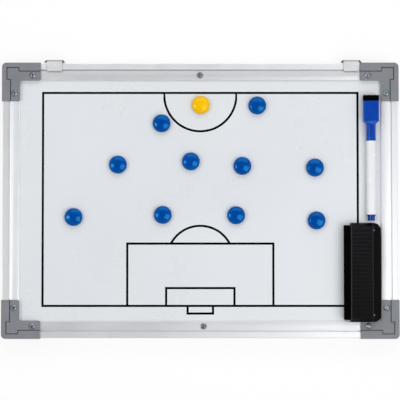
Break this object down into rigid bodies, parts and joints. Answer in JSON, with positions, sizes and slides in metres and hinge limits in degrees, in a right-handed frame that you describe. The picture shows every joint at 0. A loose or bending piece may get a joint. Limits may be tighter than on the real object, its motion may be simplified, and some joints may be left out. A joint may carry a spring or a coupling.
{
  "type": "magnetic tactics board",
  "caption": "Framed magnetic board printed with a half football pitch, with sliding hanging clips, round player magnets, a capped marker and an eraser.",
  "frame": {"origin": "under the middle of the board, on the surface that its corner mouldings lie on", "axes": "+X to the right and +Y up the board toward the hanging clips, +Z out of the writing face"},
  "size_m": [0.4516, 0.3168, 0.0303],
  "materials": {
    "frame": "satin anodised",
    "corner": "fine matte grain",
    "screw": "bright zinc",
    "writing_face": "gloss lacquer",
    "print": "printed ink",
    "core": "fibre board",
    "back": "galvanised",
    "clip": "silver lacquer on the front",
    "keeper": "satin",
    "player": "satin",
    "ferrite": "matte",
    "barrel": "gloss",
    "cap": "satin",
    "ink_fibre": "soft",
    "holder": "matte",
    "felt": "felt",
    "eraser": "satin"
  },
  "bodies": {
    "board": {"top_rail": "frame", "bottom_rail": "frame", "left_rail": "frame", "right_rail": "frame", "corner_top_left": "corner", "corner_top_right": "corner", "corner_bottom_left": "corner", "corner_bottom_right": "corner", "corner_screws": "screw", "rail_screws": "screw", "writing_sheet": "writing_face", "pitch_markings": "print", "panel_core": "core", "back_sheet": "back"},
    "clip_left": {"hanging_clip_left": "clip"},
    "clip_right": {"hanging_clip_right": "clip"},
    "keeper_magnet": {"keeper_magnet_cap": "keeper", "keeper_magnet_ferrite": "ferrite"},
    "player_magnet_01": {"player_magnet_01_cap": "player", "player_magnet_01_ferrite": "ferrite"},
    "player_magnet_02": {"player_magnet_02_cap": "player", "player_magnet_02_ferrite": "ferrite"},
    "player_magnet_03": {"player_magnet_03_cap": "player", "player_magnet_03_ferrite": "ferrite"},
    "player_magnet_04": {"player_magnet_04_cap": "player", "player_magnet_04_ferrite": "ferrite"},
    "player_magnet_05": {"player_magnet_05_cap": "player", "player_magnet_05_ferrite": "ferrite"},
    "player_magnet_06": {"player_magnet_06_cap": "player", "player_magnet_06_ferrite": "ferrite"},
    "player_magnet_07": {"player_magnet_07_cap": "player", "player_magnet_07_ferrite": "ferrite"},
    "player_magnet_08": {"player_magnet_08_cap": "player", "player_magnet_08_ferrite": "ferrite"},
    "player_magnet_09": {"player_magnet_09_cap": "player", "player_magnet_09_ferrite": "ferrite"},
    "player_magnet_10": {"player_magnet_10_cap": "player", "player_magnet_10_ferrite": "ferrite"},
    "marker": {"marker_barrel": "barrel", "marker_end_plug": "cap", "marker_reservoir": "ink_fibre", "marker_nib_holder": "holder", "marker_nib": "ink_fibre"},
    "marker_cap": {"marker_cap": "cap", "marker_cap_magnet": "ferrite", "marker_cap_felt": "felt"},
    "eraser": {"eraser_shell": "eraser", "eraser_base_plate": "eraser", "eraser_felt": "felt", "eraser_bar_magnet": "ferrite"}
  },
  "joints": [
    {"name": "clip_left_slide", "type": "slide", "parent": "board", "child": "clip_left", "axis": [1, 0, 0], "range_m": [-0.0065, 0.14]},
    {"name": "clip_right_slide", "type": "slide", "parent": "board", "child": "clip_right", "axis": [1, 0, 0], "range_m": [-0.14, 0.0008]},
    {"name": "keeper_magnet_slide", "type": "slide", "parent": "board", "child": "keeper_magnet", "axis": [0, 1, 0], "range_m": [-0.0207, 0.0168]},
    {"name": "player_magnet_01_slide", "type": "slide", "parent": "board", "child": "player_magnet_01", "axis": [0, 1, 0], "range_m": [-0.0407, 0.0378]},
    {"name": "player_magnet_02_slide", "type": "slide", "parent": "board", "child": "player_magnet_02", "axis": [0, 1, 0], "range_m": [-0.0221, 0.0174]},
    {"name": "player_magnet_03_slide", "type": "slide", "parent": "board", "child": "player_magnet_03", "axis": [0, 1, 0], "range_m": [-0.1662, 0.0848]},
    {"name": "player_magnet_04_slide", "type": "slide", "parent": "board", "child": "player_magnet_04", "axis": [0, 1, 0], "range_m": [-0.1698, 0.0207]},
    {"name": "player_magnet_05_slide", "type": "slide", "parent": "board", "child": "player_magnet_05", "axis": [0, 1, 0], "range_m": [-0.0158, 0.0227]},
    {"name": "player_magnet_06_slide", "type": "slide", "parent": "board", "child": "player_magnet_06", "axis": [0, 1, 0], "range_m": [-0.0173, 0.0882]},
    {"name": "player_magnet_07_slide", "type": "slide", "parent": "board", "child": "player_magnet_07", "axis": [0, 1, 0], "range_m": [-0.1065, 0.1445]},
    {"name": "player_magnet_08_slide", "type": "slide", "parent": "board", "child": "player_magnet_08", "axis": [0, 1, 0], "range_m": [-0.109, 0.0405]},
    {"name": "player_magnet_09_slide", "type": "slide", "parent": "board", "child": "player_magnet_09", "axis": [0, 1, 0], "range_m": [-0.1085, 0.017]},
    {"name": "player_magnet_10_slide", "type": "slide", "parent": "board", "child": "player_magnet_10", "axis": [0, 1, 0], "range_m": [-0.1027, 0.0188]},
    {"name": "marker_lift", "type": "slide", "parent": "board", "child": "marker", "axis": [0, 0, 1], "range_m": [0, 0.04]},
    {"name": "marker_cap_pull", "type": "slide", "parent": "marker", "child": "marker_cap", "axis": [0, 1, 0], "range_m": [0, 0.015]},
    {"name": "eraser_lift", "type": "slide", "parent": "board", "child": "eraser", "axis": [0, 0, 1], "range_m": [0, 0.04]}
  ]
}
